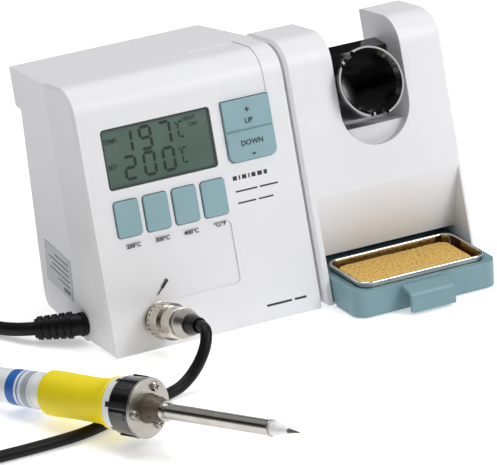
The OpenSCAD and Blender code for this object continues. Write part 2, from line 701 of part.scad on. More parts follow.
module hub() {
    color("rosybrown") iron_frame() difference() {
        union() {
            translate([0, 0, -9]) cylinder(h = 9, d = 9.9, $fn = 48);
            cylinder(h = hub_len, d1 = 15, d2 = 11, $fn = 48);
            for (a = [0:40:320]) rotate(a) translate([5.2, -0.7, 0]) cube([1.6, 1.4, 6]);
        }
        translate([0, 0, -10]) cylinder(h = 40, d = 5, $fn = 40);
        translate([0, 0, hub_len - 3]) cylinder(h = 40, d = barrel_d + 0.06, $fn = 48);
    }
}
module barrel_tube() {
    color("silver") iron_frame() {
        ring(hub_len - 3, barrel_end, barrel_d, barrel_d, barrel_d - 1.2);
        ring(hub_len, hub_len + 2.4, 10.4, 10.4, barrel_d - 0.2);
        ring(barrel_end - 0.8, barrel_end, barrel_d + 0.8, barrel_d + 0.8, barrel_d - 0.2);
    }
}
module heater() {
    color("ivory") iron_frame() ring(-8, barrel_end - 22, 4.6, 4.6, 1);
}
module tip() {
    color("white") iron_frame() difference() {
        union() {
            translate([0, 0, barrel_end - 20]) cylinder(h = 21, d = barrel_d - 1.4, $fn = 48);
            translate([0, 0, barrel_end + 1 - eps]) cylinder(h = 2.6, d = barrel_d - 1.4, $fn = 48);
            translate([0, 0, barrel_end + 3.6 - 2 * eps]) cylinder(h = 7, d1 = barrel_d - 1.4, d2 = 2.6, $fn = 48);
            translate([0, 0, barrel_end + 10.6 - 3 * eps]) cylinder(h = tip_end - barrel_end - 10.6, d1 = 2.6, d2 = 0.5,
                $fn = 48);
        }
        translate([0, 0, barrel_end - 21]) cylinder(h = 16, d = 4.8, $fn = 40);
    }
}
label_z = [-87, -70];
module iron_label() {
    color("royalblue") iron_frame() translate([0, 0, label_z[0]]) difference() {
        handle_cone(label_z, 0.4);
        translate([0, 0, -eps]) handle_cone(label_z, 0.06, 2 * eps);
    }
}
module iron_boot() {
    color("black") iron_frame() difference() {
        union() {
            translate([0, 0, -handle_len - boot_len]) cylinder(h = boot_len + 4, d1 = 7.4, d2 = 8, $fn = 48);
            translate([0, 0, -handle_len - 2.6]) cylinder(h = 2.6, d = 12, $fn = 48);
            for (k = [0:5]) translate([0, 0, -handle_len - 7 - 3.6 * k]) cylinder(h = 2, d = 9.6 - 0.2 * k, $fn = 48);
        }
        translate([0, 0, -handle_len - boot_len - 1]) cylinder(h = boot_len + 20, d = iron_cord_d + 0.2, $fn = 40);
    }
}

// ---------- plug of the iron's cord ----------
module plug_frame() { on_face() translate([socket_at.x, socket_at.y, 0]) children(); }
function plug_point(w) = [socket_at.x, socket_at.y * sin(tilt) - w * cos(tilt),
    socket_at.y * cos(tilt) + w * sin(tilt)];
module plug_body() {
    color("silver") plug_frame() difference() {
        union() {
            translate([0, 0, 3.4]) cylinder(h = 11, d = 12, $fn = 48);
            translate([0, 0, 9.4]) cylinder(h = 2.4, d = 14.4, $fn = 48);
            translate([0, 0, 14]) cylinder(h = 12, d = 16.4, $fn = 48);
        }
        translate([0, 0, 6]) cylinder(h = 30, d = 9, $fn = 40);
    }
}
module coupling_ring() {
    notches = 24;
    color("silver") plug_frame() difference() {
        translate([0, 0, 2.3]) cylinder(h = 11.4, d = 19, $fn = 64);
        translate([0, 0, 1]) cylinder(h = 10.9, d = 14.7, $fn = 48);
        translate([0, 0, 1]) cylinder(h = 20, d = 12.1, $fn = 48);
        for (k = [0:notches - 1]) rotate(360 * k / notches) translate([19 / 2 - 0.4, -0.5, 4]) cube([2, 1, 7.6]);
    }
}
module cord_clamp() {
    color("silver") plug_frame() difference() {
        union() {
            translate([0, 0, 20]) cylinder(h = 6, d = 8.9, $fn = 40);
            translate([0, 0, 26]) cylinder(h = 3, d = 15, $fn = 48);
            translate([0, 0, 29 - eps]) cylinder(h = 6, d1 = 15, d2 = 11.4, $fn = 48);
        }
        translate([0, 0, 10]) cylinder(h = 40, d = 7.4, $fn = 40);
    }
}
module plug_boot() {
    color("black") plug_frame() difference() {
        union() {
            translate([0, 0, 27]) cylinder(h = 8.1, d = 7.3, $fn = 40);
            translate([0, 0, 35]) cylinder(h = 9, d1 = 10, d2 = 8, $fn = 48);
        }
        translate([0, 0, 20]) cylinder(h = 40, d = iron_cord_d + 0.1, $fn = 40);
    }
}

// ---------- cords: points are [X, Y, Z] of the cord's middle ----------
iron_z = iron_cord_d / 2 + 0.15;
iron_ring = [-150, -40];
iron_ring_r = 36;
iron_layer = 6.3;
iron_front_route = [plug_point(31), plug_point(44.5), [28, -47.4, 25.8], [24.6, -52, 19.6], [18.4, -54.6, 11.8],
    [10, -56.6, 5.6], [0, -58.8, iron_z], [-24, -66, iron_z], [-45, -75, iron_z], [-66, -80, iron_z],
    [-105, -81, iron_z], [-128, -78, iron_z], [iron_ring.x, iron_ring.y - iron_ring_r, iron_z]];
iron_tail_route = [[iron_ring.x - iron_ring_r, iron_ring.y, iron_z + iron_layer], [-186, 0, 6], [-172, 38, iron_z],
    [-140, 60, iron_z], [-111, 62, iron_z], [-96, 52, 4.4], iron_point(-handle_len - boot_len - 0.1)];

mains_z = mains_cord_d / 2 + 0.15;
mains_ring = [-92, 150];
mains_ring_r = 42;
mains_layer = 7.2;
mains_start = [-1.5, mains_at.x, mains_at.y];
mains_dir = unit([-17.5, 12, -2]);
mains_boot_len = 24;
mains_lead_route = [mains_start + 6 * mains_dir, mains_start + (mains_boot_len + 1) * mains_dir, [-29, 57, 5.4],
    [-34, 69, 4], [-40, 88, mains_z], [-46, 115, mains_z], [mains_ring.x + mains_ring_r, mains_ring.y, mains_z]];
plug_at = [-152, 158, 9.2];
mains_end_route = [[mains_ring.x, mains_ring.y + mains_ring_r, mains_z + 2 * mains_layer], [-112, 191, 14],
    [-132, 186, 10.4], [-147, 175, 9.4], plug_at, plug_at - [0, 8, 0]];

// The outer shape of a coil of cord: wide and high counts of turns, with round corners.
module coil_solid(at, outer_r, d, layer, wide, high) {
    size = [d + (wide - 1) * layer, d + (high - 1) * layer];
    translate([at.x, at.y, 0.15]) rotate_extrude($fn = 96) translate([outer_r + d / 2 - size.x, 0]) {
        translate([d / 2, 0]) square([size.x - d, size.y]);
        translate([0, d / 2]) square([size.x, size.y - d]);
        for (x = [d / 2, size.x - d / 2], y = [d / 2, size.y - d / 2]) translate([x, y]) circle(d = d, $fn = 32);
    }
}

module iron_cord_front() { color("black") cord_tube(smooth(iron_front_route, 4), iron_cord_d); }
module iron_cord_coil() {
    color("black") coil_solid(iron_ring, iron_ring_r, iron_cord_d, iron_layer, 2, 2);
}
module iron_cord_tail() { color("black") cord_tube(smooth(iron_tail_route, 4), iron_cord_d); }

module mains_boot() {
    end = mains_start + mains_boot_len * mains_dir;
    color("black") difference() {
        union() {
            translate([-2.6, mains_at.x, mains_at.y]) rotate([0, 90, 0]) {
                cylinder(h = 8, d = mains_neck_d, $fn = 48);
                cylinder(h = 2.4, d = 12.4, $fn = 48);
                translate([0, 0, 2.6 + wall + 1]) cylinder(h = 2.2, d = 12.4, $fn = 48);
            }
            hull() {
                translate([-2.6, mains_at.x, mains_at.y]) rotate([0, 90, 0]) cylinder(h = 1, d = 11, $fn = 48);
                bar(mains_start + 5 * mains_dir, mains_start + 7 * mains_dir, 12, 12);
            }
            bar(mains_start + 6 * mains_dir, end, 12, 10);
            for (k = [0:4]) bar(mains_start + (5 + 3.8 * k) * mains_dir, mains_start + (7.4 + 3.8 * k) * mains_dir,
                14 - 0.4 * k, 13.6 - 0.4 * k);
        }
        bar(mains_start + 4 * mains_dir, end + 2 * mains_dir, mains_cord_d + 0.2, mains_cord_d + 0.2);
    }
}
module mains_cord_lead() { color("black") cord_tube(smooth(mains_lead_route, 4), mains_cord_d); }
module mains_cord_coil() {
    color("black") coil_solid(mains_ring, mains_ring_r, mains_cord_d, mains_layer, 2, 3);
}
module mains_cord_end() { color("black") cord_tube(smooth(mains_end_route, 4), mains_cord_d); }

plug_size = [24, 36, 17];
module mains_plug() {
    color("black") translate(plug_at) difference() {
        union() {
            translate([-plug_size.x / 2, -plug_size.y, -plug_size.z / 2])
                cube([plug_size.x, plug_size.y - 10, plug_size.z]);
            translate([-8, -10 - eps, -6.5]) cube([16, 8, 13]);
            translate([0, 1, 0]) rotate([90, 0, 0]) cylinder(h = 4, d = 10, $fn = 40);
            for (k = [0:3]) translate([-plug_size.x / 2 - 0.6, -18 - 4 * k, -6]) cube([plug_size.x + 1.2, 2, 12]);
        }
        translate([0, 3, 0]) rotate([90, 0, 0]) cylinder(h = 14, d = mains_cord_d + 0.2, $fn = 40);
        for (x = [-6.35, 6.35]) translate([x - 3.25, -plug_size.y - 1, -0.8]) cube([6.5, 5.05, 1.6]);
    }
}
module plug_pins() {
    color("silver") translate(plug_at - [0, plug_size.y, 0]) for (x = [-6.35, 6.35])
        translate([x - 3.2, -17, -0.75]) difference() {
            cube([6.4, 21, 1.5]);
            translate([3.2, 4, -1]) cylinder(h = 4, d = 3, $fn = 32);
        }
}

// Sets a sub-part in the station's own frame.
module place() { translate(-origin) children(); }

place() front_shell();
place() rear_shell();
place() rubber_feet();
place() case_screws();
place() rating_label();
place() lcd_window();
place() lcd_module();
place() control_board();
place() tact_switches();
place() small_key(0);  // key_1
place() small_key(1);  // key_2
place() small_key(2);  // key_3
place() small_key(3);  // key_4
place() updown_key();
place() panel_socket();
place() socket_nut();
place() transformer_core();
place() transformer_coil();
place() transformer_screws();
place() mains_fuse();
place() power_switch_frame();
place() power_switch_rocker();
place() holder_shell();
place() holder_base();
place() holder_back();
place() holder_screws();
place() iron_cup();
place() drawer();
place() sponge_tin();
place() sponge();
place() iron_handle();
place() grip_sleeve();
place() spacer_ring();
place() collar();
place() flange_plate();
place() flange_screws();
place() hub();
place() barrel_tube();
place() heater();
place() tip();
place() iron_label();
place() iron_boot();
place() plug_body();
place() coupling_ring();
place() cord_clamp();
place() plug_boot();
place() iron_cord_front();
place() iron_cord_coil();
place() iron_cord_tail();
place() mains_boot();
place() mains_cord_lead();
place() mains_cord_coil();
place() mains_cord_end();
place() mains_plug();
place() plug_pins();
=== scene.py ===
"""Looks of the soldering iron station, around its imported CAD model.

Sizes and places are in millimetres in the station's own frame, where X runs to the
right along the foot of the face, Y to the back and Z up. at() turns them into the
shared frame, in metres. Materials and lights are in metres throughout.
"""

import math

import bmesh
import bpy
from mathutils import Matrix, Vector, noise


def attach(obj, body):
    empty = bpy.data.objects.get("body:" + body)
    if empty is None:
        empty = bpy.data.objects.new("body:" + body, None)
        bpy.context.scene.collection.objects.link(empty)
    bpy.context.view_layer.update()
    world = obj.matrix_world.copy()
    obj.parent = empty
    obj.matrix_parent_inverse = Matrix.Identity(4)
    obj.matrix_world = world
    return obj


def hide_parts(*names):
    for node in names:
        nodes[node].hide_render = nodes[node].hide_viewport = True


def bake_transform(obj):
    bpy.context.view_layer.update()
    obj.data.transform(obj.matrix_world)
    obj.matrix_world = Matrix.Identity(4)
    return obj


MM = 0.001
ORIGIN = Vector((63.2, -40.5, 0))  # the shared frame's origin
TILT = math.radians(14.9)  # how far the face leans back
FACE_UP = (0, math.sin(TILT), math.cos(TILT))

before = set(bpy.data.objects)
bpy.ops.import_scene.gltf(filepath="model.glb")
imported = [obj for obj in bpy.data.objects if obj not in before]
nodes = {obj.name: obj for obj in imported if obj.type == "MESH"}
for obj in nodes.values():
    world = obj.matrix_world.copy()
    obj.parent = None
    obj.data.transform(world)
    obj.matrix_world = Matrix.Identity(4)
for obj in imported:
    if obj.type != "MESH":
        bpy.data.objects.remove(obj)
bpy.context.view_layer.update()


# ---------- places ----------
def at(x, y, z):
    """A point of the station's own frame, in the shared frame, in metres."""
    return (Vector((x, y, z)) - ORIGIN) * MM


def on_face(x, up, out=0.0):
    """A point in the shared frame: across the face, up it, and out of it."""
    c, s = math.cos(TILT), math.sin(TILT)
    return at(x, up * s - out * c, up * c + out * s)


IRON_AT = Vector((-35.8, -107.3, 21))  # the middle of the flange plate's front
IRON_TURN = math.radians(21.7)
IRON_RISE = math.radians(5.9)
IRON_AXIS = Vector(
    (
        math.sin(IRON_TURN) * math.cos(IRON_RISE),
        -math.cos(IRON_TURN) * math.cos(IRON_RISE),
        math.sin(IRON_RISE),
    )
)


def iron_point(z):
    """A point on the iron's axis, z towards its tip."""
    return IRON_AT + IRON_AXIS * z


SOCKET = (29.2, 15)  # across and up the face


def plug_point(out):
    """A point on the connector's axis, out from the face."""
    c, s = math.cos(TILT), math.sin(TILT)
    return Vector((SOCKET[0], SOCKET[1] * s - out * c, SOCKET[1] * c + out * s))


# ---------- camera ----------
CAMERA_AT = (-1120.8, -2285.3, 1051.0)
CAMERA_TURN = (-27.71, 21.16, -2.815)  # yaw, pitch and roll in degrees
CAMERA_LENS, CAMERA_SENSOR = 396, 36


def add_camera():
    yaw, pitch, roll = (math.radians(a) for a in CAMERA_TURN)
    back = Vector(
        (
            math.sin(yaw) * math.cos(pitch),
            -math.cos(yaw) * math.cos(pitch),
            math.sin(pitch),
        )
    )
    level = Vector((0, 0, 1)).cross(back).normalized()
    raised = back.cross(level)
    right = level * math.cos(roll) + raised * math.sin(roll)
    up = back.cross(right)
    data = bpy.data.cameras.new("camera")
    data.sensor_width = CAMERA_SENSOR
    data.lens = CAMERA_LENS
    data.clip_end = 20
    camera = link_object("camera", data)
    turn = Matrix((right, up, back)).transposed().to_4x4()
    camera.matrix_world = Matrix.Translation(at(*CAMERA_AT)) @ turn
    bpy.context.scene.camera = camera


# ---------- mesh helpers ----------
def link_object(name, data):
    obj = bpy.data.objects.new(name, data)
    bpy.context.collection.objects.link(obj)
    return obj


def make_object(name, verts, faces, smooth=True):
    mesh = bpy.data.meshes.new(name)
    mesh.from_pydata([tuple(v) for v in verts], [], faces)
    mesh.validate()
    mesh.polygons.foreach_set("use_smooth", [smooth] * len(mesh.polygons))
    return link_object(name, mesh)


def ring_wall(sides, start, end):
    """Faces between two rings of points, given the first index of each."""
    pairs = ((k, (k + 1) % sides) for k in range(sides))
    return [(start + k, start + m, end + m, end + k) for k, m in pairs]


def spline(points, steps):
    """Points of a Catmull-Rom curve through the given ones."""
    points = [Vector(p) for p in points]
    out = []
    for i in range(len(points) - 1):
        a, b = points[max(i - 1, 0)], points[i]
        c, d = points[i + 1], points[min(i + 2, len(points) - 1)]
        for k in range(steps):
            t = k / steps
            out.append(
                0.5
                * (
                    2 * b
                    + (c - a) * t
                    + (2 * a - 5 * b + 4 * c - d) * t * t
                    + (3 * b - a - 3 * c + d) * t * t * t
                )
            )
    return out + [points[-1]]


def tube(name, path, diameter, sides=16):
    """A closed round tube along a path, its rings carried along without twist."""
    verts, faces = [], []
    side = None
    for i, p in enumerate(path):
        along = (path[min(i + 1, len(path) - 1)] - path[max(i - 1, 0)]).normalized()
        if side is None:
            side = along.cross(Vector((0, 0, 1))).normalized()
        side = (side - along * side.dot(along)).normalized()
        other = along.cross(side)
        for k in range(sides):
            a = 2 * math.pi * k / sides
            verts.append(p + (side * math.cos(a) + other * math.sin(a)) * diameter / 2)
    for i in range(len(path) - 1):
        faces += ring_wall(sides, i * sides, (i + 1) * sides)
    faces.append(tuple(reversed(range(sides))))
    faces.append(tuple(range(len(verts) - sides, len(verts))))
    return make_object(name, verts, faces)


# ---------- cords ----------
def ease(t):
    """Goes from 0 to 1 with soft ends as t does."""
    t = min(max(t, 0.0), 1.0)
    return t * t * (3 - 2 * t)


def coil_points(centre, start, way, turns, radius, base, per_turn=28):
    """Turns of a coil: radius(u) and height base(u) follow the count of turns u."""
    out = []
    count = int(turns * per_turn)
    for i in range(1, count):
        u = turns * i / count
        a = math.radians(start) + way * 2 * math.pi * u
        out.append(
            Vector(
                (
                    centre[0] + radius(u) * math.cos(a),
                    centre[1] + radius(u) * math.sin(a),
                    base(u),
                )
            )
        )
    return out


def stepped(first, *steps):
    """A value that starts at first and eases by an amount between two counts of turns.

    Each step is the count where it starts, the count where it ends, and the amount.
    """

    def value(u):
        return first + sum(
            amount * ease((u - low) / (high - low)) for low, high, amount in steps
        )

    return value


ROUTE_STEPS = 6  # points of the curve between two points of a route
# A coil's second turn lies inside its first, and the next two lie on top of those.
IN_AT, OUT_AT = (0.85, 1.0), (2.7, 2.8)
UP_AT, TOP_AT = (1.72, 1.86), (3.7, 3.9)

IRON_CORD_D = 6
IRON_Z = 3.15  # the cord's middle when it lies on the bench
IRON_RING = (-150, -40)
IRON_RING_R = 36
IRON_TURNS = 3.25
IRON_LAYER = 6.3  # from one turn to the next
IRON_FRONT = [
    plug_point(31),
    plug_point(44.5),
    (28, -47.4, 25.8),
    (24.6, -52, 19.6),
    (18.4, -54.6, 11.8),
    (10, -56.6, 5.6),
    (0, -58.8, IRON_Z),
    (-24, -66, IRON_Z),
    (-45, -75, IRON_Z),
    (-66, -80, IRON_Z),
    (-105, -81, IRON_Z),
    (-128, -78, IRON_Z),
    (IRON_RING[0], IRON_RING[1] - IRON_RING_R, IRON_Z),
]
IRON_TAIL = [
    (IRON_RING[0] - IRON_RING_R, IRON_RING[1], IRON_Z + IRON_LAYER),
    (-186, 0, 6),
    (-172, 38, IRON_Z),
    (-140, 60, IRON_Z),
    (-111, 62, IRON_Z),
    (-96, 52, 4.4),
    iron_point(-152),
    iron_point(-136),
]
MAINS_CORD_D = 7
MAINS_Z = 3.65
MAINS_RING = (-92, 150)
MAINS_RING_R = 42
MAINS_TURNS = 4.25
MAINS_LAYER = 7.2
MAINS_START = Vector((-1.5, 32.2, 10))
MAINS_DIR = Vector((-17.5, 12, -2)).normalized()
MAINS_LEAD = [
    MAINS_START + MAINS_DIR * 6,
    MAINS_START + MAINS_DIR * 25,
    (-29, 57, 5.4),
    (-34, 69, 4),
    (-40, 88, MAINS_Z),
    (-46, 115, MAINS_Z),
    (MAINS_RING[0] + MAINS_RING_R, MAINS_RING[1], MAINS_Z),
]
PLUG_AT = Vector((-152, 158, 9.2))
MAINS_END = [
    (MAINS_RING[0], MAINS_RING[1] + MAINS_RING_R, MAINS_Z + 2 * MAINS_LAYER),
    (-112, 191, 14),
    (-132, 186, 10.4),
    (-147, 175, 9.4),
    PLUG_AT,
    PLUG_AT - Vector((0, 8, 0)),
]


def add_iron_cord():
    coil = coil_points(
        IRON_RING,
        -90,
        -1,
        IRON_TURNS,
        stepped(IRON_RING_R, (*IN_AT, -IRON_LAYER), (*OUT_AT, IRON_LAYER)),
        stepped(IRON_Z, (*UP_AT, IRON_LAYER)),
    )
    route = spline(IRON_FRONT, ROUTE_STEPS) + coil + spline(IRON_TAIL, ROUTE_STEPS)
    path = [at(*p) for p in route]
    cord = tube("iron_cord", path, IRON_CORD_D * MM)
    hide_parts("iron_cord_front", "iron_cord_coil", "iron_cord_tail")
    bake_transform(cord)
    return cord


def add_mains_cord():
    coil = coil_points(
        MAINS_RING,
        0,
        1,
        MAINS_TURNS,
        stepped(MAINS_RING_R, (*IN_AT, -MAINS_LAYER), (*OUT_AT, MAINS_LAYER)),
        stepped(MAINS_Z, (*UP_AT, MAINS_LAYER), (*TOP_AT, MAINS_LAYER)),
    )
    route = spline(MAINS_LEAD, ROUTE_STEPS) + coil + spline(MAINS_END, ROUTE_STEPS)
    path = [at(*p) for p in route]
    cord = tube("mains_cord", path, MAINS_CORD_D * MM)
    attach(cord, "station")
    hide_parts("mains_cord_lead", "mains_cord_coil", "mains_cord_end")
    return cord


# ---------- materials ----------
def linear(r, g, b):
    """An sRGB colour, 0 to 255, in linear light."""
    parts = [c / 255 for c in (r, g, b)]
    return [
        c / 12.92 if c <= 0.04045 else ((c + 0.055) / 1.055) ** 2.4 for c in parts
    ] + [1]


def shade(rgb, k):
    """An sRGB colour in linear light, darker or lighter by a factor."""
    return [c * k for c in linear(*rgb)[:3]] + [1]


class Maker:
    """Builds one node material around a Principled shader."""

    def __init__(self, name):
        self.material = bpy.data.materials.new(name)
        self.material.use_nodes = True
        self.tree = self.material.node_tree
        self.shader = self.tree.nodes["Principled BSDF"]
        self.place = self.tree.nodes.new("ShaderNodeTexCoord").outputs["Object"]

    def set(self, **values):
        for key, value in values.items():
            self.shader.inputs[key.replace("_", " ")].default_value = value
        return self

    def link(self, source, target):
        self.tree.links.new(source, target)

    def noise(self, scale, detail=3.0, stretch=None):
        node = self.tree.nodes.new("ShaderNodeTexNoise")
        node.inputs["Scale"].default_value = scale
        node.inputs["Detail"].default_value = detail
        source = self.place
        if stretch:
            mapping = self.tree.nodes.new("ShaderNodeMapping")
            mapping.inputs["Scale"].default_value = stretch
            self.link(self.place, mapping.inputs["Vector"])
            source = mapping.outputs["Vector"]
        self.link(source, node.inputs["Vector"])
        return node.outputs["Fac"]

    def ramp(self, source, *stops):
        node = self.tree.nodes.new("ShaderNodeValToRGB")
        ramp = node.color_ramp
        while len(ramp.elements) < len(stops):
            ramp.elements.new(0.5)
        for element, (place, colour) in zip(ramp.elements, stops):
            element.position = place
            element.color = colour
        self.link(source, node.inputs["Fac"])
        return node.outputs["Color"]

    def spread(self, source, low, high):
        node = self.tree.nodes.new("ShaderNodeMapRange")
        node.inputs["To Min"].default_value = low
        node.inputs["To Max"].default_value = high
        self.link(source, node.inputs["Value"])
        return node.outputs["Result"]

    def colour(self, source):
        self.link(source, self.shader.inputs["Base Color"])
        return self

    def mottle(self, source, rgb, dark, light, full=0.7):
        """Colours from a darker shade at 0.3 of the noise to a lighter one at full."""
        return self.colour(
            self.ramp(source, (0.3, shade(rgb, dark)), (full, shade(rgb, light)))
        )

    def rough(self, source, low, high):
        self.link(self.spread(source, low, high), self.shader.inputs["Roughness"])
        return self

    def bump(self, source, strength, distance):
        node = self.tree.nodes.new("ShaderNodeBump")
        node.inputs["Strength"].default_value = strength
        node.inputs["Distance"].default_value = distance
        self.link(source, node.inputs["Height"])
        self.link(node.outputs["Normal"], self.shader.inputs["Normal"])
        return self


def plastic(name, rgb, low, high, grain=0.25, mottle=0.04, coat=0.0):
    """Moulded plastic: a fine spark-eroded grain, faint mottling and uneven gloss."""
    m = Maker(name)
    m.mottle(m.noise(60, 4), rgb, 1 - mottle, 1 + mottle)
    m.rough(m.noise(220, 3), low, high)
    m.bump(m.noise(3200, 2), grain, 0.00008)
    m.set(Coat_Weight=coat, Coat_Roughness=0.08)
    return m.material


def metal(name, rgb, low, high, scratch=(1, 1, 1), strength=0.1):
    """Bright metal with fine scratches drawn out along one way."""
    m = Maker(name)
    m.set(Metallic=1.0)
    streaks = m.noise(900, 4, scratch)
    m.mottle(m.noise(90, 3), rgb, 0.88, 1.05)
    m.rough(streaks, low, high)
    m.bump(streaks, strength, 0.00004)
    return m.material


def printed(name, rgb):
    """Ink or film: matt, a little uneven."""
    m = Maker(name)
    m.mottle(m.noise(1500, 2), rgb, 0.85, 1.25, full=0.75)
    m.rough(m.noise(400, 2), 0.35, 0.5)
    return m.material


def rubber(name, rgb, low, high):
    """Soft cord skin and feet: dull, with a fine grain."""
    m = Maker(name)
    m.mottle(m.noise(150, 4), rgb, 0.8, 1.25, full=0.75)
    m.rough(m.noise(500, 3), low, high)
    m.bump(m.noise(2600, 3), 0.3, 0.00012)
    m.set(Specular_IOR_Level=0.2)
    return m.material


DARKER_TO, LIGHTER_FROM = 0.0112, 0.0148  # heights on the sponge: darker below the first, lighter above the second


def sponge_material():
    """Tan cells above, darker orange-brown lower down the sides, by height alone."""
    m = Maker("sponge_cells")
    cells = m.noise(900, 5)
    upper_cells = m.ramp(
        cells,
        (0.32, linear(150, 104, 44)),
        (0.46, linear(212, 172, 92)),
        (0.7, linear(232, 198, 124)),
    )
    lower_cells = m.ramp(cells, (0.3, linear(96, 52, 14)), (0.7, linear(168, 104, 36)))
    parts = m.tree.nodes.new("ShaderNodeSeparateXYZ")
    m.link(m.place, parts.inputs["Vector"])
    height = m.tree.nodes.new("ShaderNodeMapRange")
    height.inputs["From Min"].default_value = DARKER_TO
    height.inputs["From Max"].default_value = LIGHTER_FROM
    m.link(parts.outputs["Z"], height.inputs["Value"])
    mix = m.tree.nodes.new("ShaderNodeMix")
    mix.data_type = "RGBA"
    m.link(height.outputs["Result"], mix.inputs["Factor"])
    m.link(lower_cells, mix.inputs[6])
    m.link(upper_cells, mix.inputs[7])
    m.colour(mix.outputs[2])
    m.rough(cells, 0.8, 1.0)
    m.bump(cells, 0.6, 0.0004)
    m.set(Specular_IOR_Level=0.15)
    return m.material


def along_iron(m, middle, reach):
    """0 to 1 along the iron's axis, from a reach before middle to a reach after it."""
    mapping = m.tree.nodes.new("ShaderNodeMapping")
    mapping.vector_type = "TEXTURE"
    mapping.inputs["Location"].default_value = at(*iron_point(middle))
    turn = IRON_AXIS.to_track_quat("X", "Z").to_euler()
    mapping.inputs["Rotation"].default_value = turn
    m.link(m.place, mapping.inputs["Vector"])
    parts = m.tree.nodes.new("ShaderNodeSeparateXYZ")
    m.link(mapping.outputs["Vector"], parts.inputs["Vector"])
    along = m.tree.nodes.new("ShaderNodeMapRange")
    along.inputs["From Min"].default_value = -reach * MM
    along.inputs["From Max"].default_value = reach * MM
    m.link(parts.outputs["X"], along.inputs["Value"])
    return along.outputs["Result"]


def tip_material():
    """White plated cone whose thin end shows bare, slightly burnt metal."""
    m = Maker("tip_plating")
    place = along_iron(m, 88, 4)
    white, metal_end = linear(238, 238, 238), linear(112, 106, 100)
    m.colour(
        m.ramp(place, (0.0, white), (0.46, white), (0.56, metal_end), (1.0, metal_end))
    )
    shine = m.ramp(place, (0.46, (0, 0, 0, 1)), (0.56, (1, 1, 1, 1)))
    m.link(shine, m.shader.inputs["Metallic"])
    m.rough(m.noise(500, 2), 0.3, 0.5)
    m.bump(m.noise(2400, 2), 0.2, 0.00005)
    return m.material


def iron_label_material():
    """A wrap label: a blue block, then white with a grey block along the handle."""
    m = Maker("iron_label_print")
    blue, white = linear(36, 104, 190), linear(232, 234, 238)
    grey = linear(168, 178, 190)
    colour = m.ramp(
        along_iron(m, -78.5, 8.5),
        (0.0, blue),
        (0.34, white),
        (0.44, blue),
        (0.49, white),
        (0.62, grey),
        (0.86, white),
    )
    colour.node.color_ramp.interpolation = "CONSTANT"
    m.colour(colour)
    m.rough(m.noise(400, 2), 0.3, 0.42)
    return m.material


def lcd_material():
    m = Maker("lcd_glass_face")
    m.colour(
        m.ramp(m.noise(25, 2), (0.3, linear(80, 100, 91)), (0.7, linear(94, 114, 105)))
    )
    m.rough(m.noise(200, 2), 0.08, 0.16)
    m.set(Coat_Weight=0.5, Coat_Roughness=0.05)
    return m.material


# ---------- softened CAD parts ----------
EDGE_ANGLE, SHELL_ANGLE = 32, 18  # the least bend, in degrees, that is rounded


def soften(name, width, angle):
    """Rounds a CAD part's edges for the eye; its own mesh stays as it is."""
    obj = nodes[name]
    weld = obj.modifiers.new("weld", "WELD")
    weld.merge_threshold = 0.000002
    flat = obj.modifiers.new("flat", "DECIMATE")
    flat.decimate_type = "DISSOLVE"
    flat.angle_limit = math.radians(0.4)
    bevel = obj.modifiers.new("bevel", "BEVEL")
    bevel.width = width * MM
    bevel.segments = 3
    bevel.limit_method = "ANGLE"
    bevel.angle_limit = math.radians(angle)
    bevel.harden_normals = True
    normal = obj.modifiers.new("normal", "WEIGHTED_NORMAL")
    normal.keep_sharp = False
    obj.data.polygons.foreach_set("use_smooth", [True] * len(obj.data.polygons))


def paint(material, *names):
    """Gives one material to CAD nodes, by name, and to other objects."""
    for name in names:
        obj = nodes[name] if isinstance(name, str) else name
        if not obj.material_slots:
            obj.data.materials.append(material)
        for s in obj.material_slots:
            s.material = material


# ---------- light and floor ----------
LIGHT_AIM = Vector((0, 0, 0.05))
# A light's name, place, two sides and power.
LIGHTS = (
    ("key_light", (0.9, -1.1, 1.1), (0.8, 0.8), 15.5),
    ("fill_light", (-1.5, -0.5, 0.7), (0.5, 0.9), 0.6),
    ("top_light", (0, 0.4, 1.6), (1.0, 1.0), 12),
)
# The world's brightness at heights on its ramp, between a grey floor and a white top.
# The dark band between them gives metal something dark to show.
WORLD_LEVELS = ((0.2, 0.45), (0.28, 0.02), (0.5, 0.02))
FLOOR_HALF = 4
FLOOR_GLOW = 0.4
WORLD_STRENGTH = 0.4


def add_light(name, place, size, watts):
    data = bpy.data.lights.new(name, "AREA")
    data.shape = "RECTANGLE"
    data.size, data.size_y = size
    data.energy = watts
    lamp = link_object(name, data)
    lamp.location = place
    aim = LIGHT_AIM - Vector(place)
    lamp.rotation_euler = aim.to_track_quat("-Z", "Y").to_euler()


